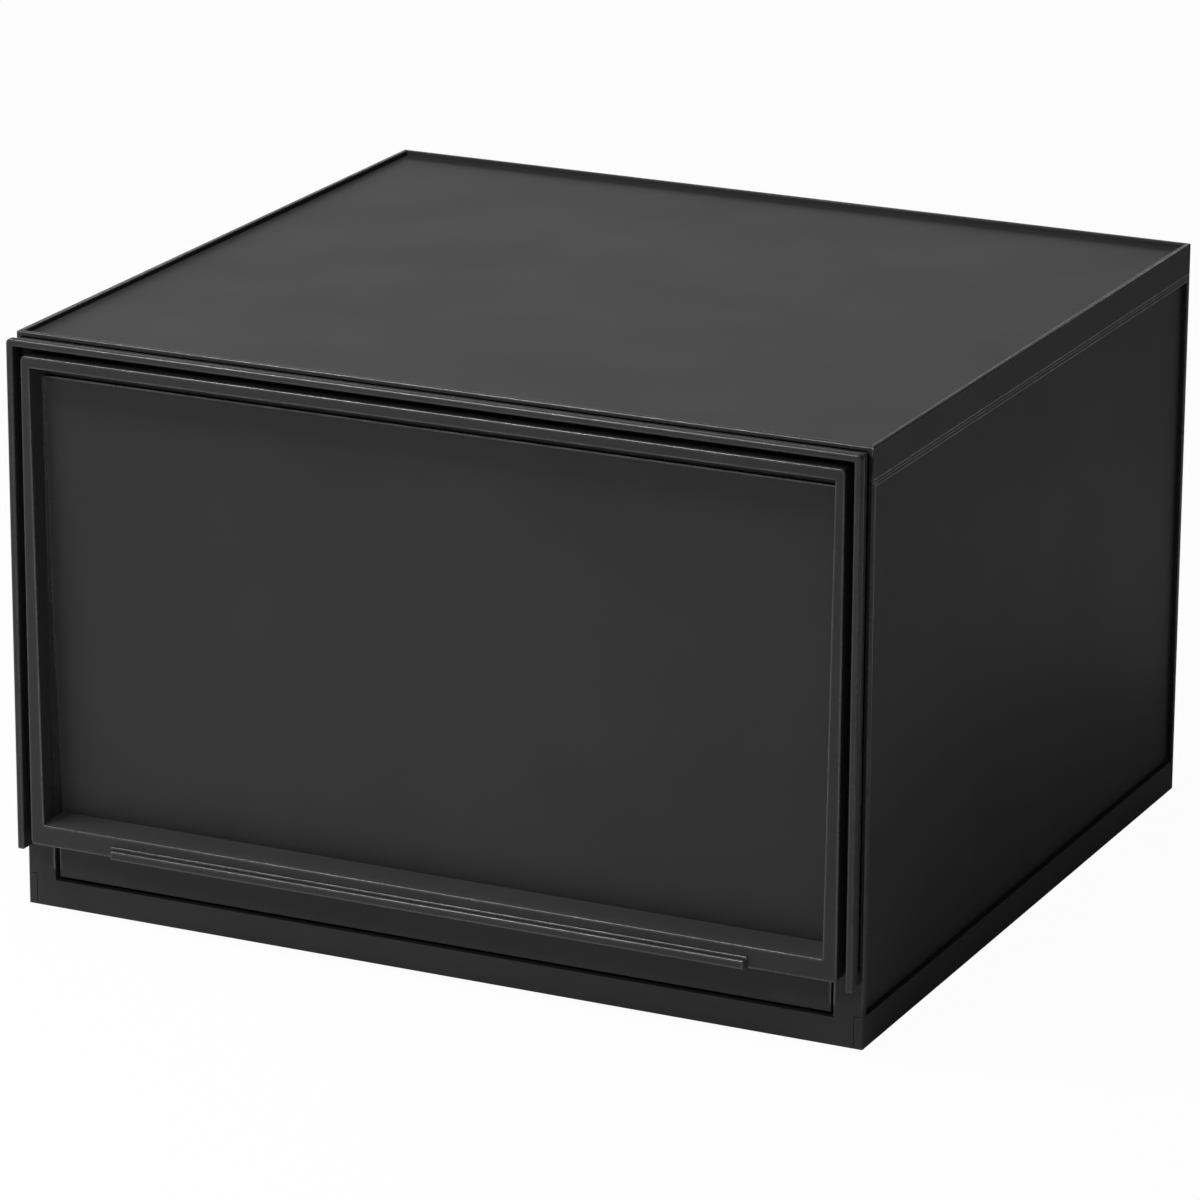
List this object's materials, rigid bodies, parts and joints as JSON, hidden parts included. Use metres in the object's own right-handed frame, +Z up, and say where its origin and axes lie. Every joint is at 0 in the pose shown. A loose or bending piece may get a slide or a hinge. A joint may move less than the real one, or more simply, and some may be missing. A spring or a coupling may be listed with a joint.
{
  "type": "stackable drawer box",
  "caption": "Free-standing stackable box with a raised rim on top, a hooded front and one full-width sliding drawer with a framed, recessed front and a finger pull.",
  "frame": {"origin": "under the middle of the whole object's box, on the surface that it stands on", "axes": "+X to the right, -Y out of the front, the way the drawer opens, +Z up"},
  "size_m": [0.34, 0.3224, 0.224],
  "materials": {
    "case_plastic": "satin moulded polypropylene, charcoal black",
    "drawer_plastic": "satin moulded polypropylene, charcoal black",
    "pin_plastic": "plain moulded acetal, dark grey"
  },
  "bodies": {
    "case": {"top_panel": "case_plastic", "bottom_panel": "case_plastic", "left_side_panel": "case_plastic", "right_side_panel": "case_plastic", "back_panel": "case_plastic", "front_frame": "case_plastic", "front_hood": "case_plastic", "hood_rivets": "pin_plastic", "left_runner": "pin_plastic", "right_runner": "pin_plastic", "top_pins": "pin_plastic", "bottom_pins": "pin_plastic", "front_pins": "pin_plastic", "back_pins": "pin_plastic"},
    "drawer": {"drawer_bin": "drawer_plastic", "drawer_front": "drawer_plastic", "finger_pull": "drawer_plastic", "front_rivets": "pin_plastic", "left_stop_lug": "pin_plastic", "right_stop_lug": "pin_plastic"}
  },
  "joints": [
    {"name": "drawer_slide", "type": "slide", "parent": "case", "child": "drawer", "axis": [0, -1, 0], "range_m": [0, 0.2539]}
  ]
}
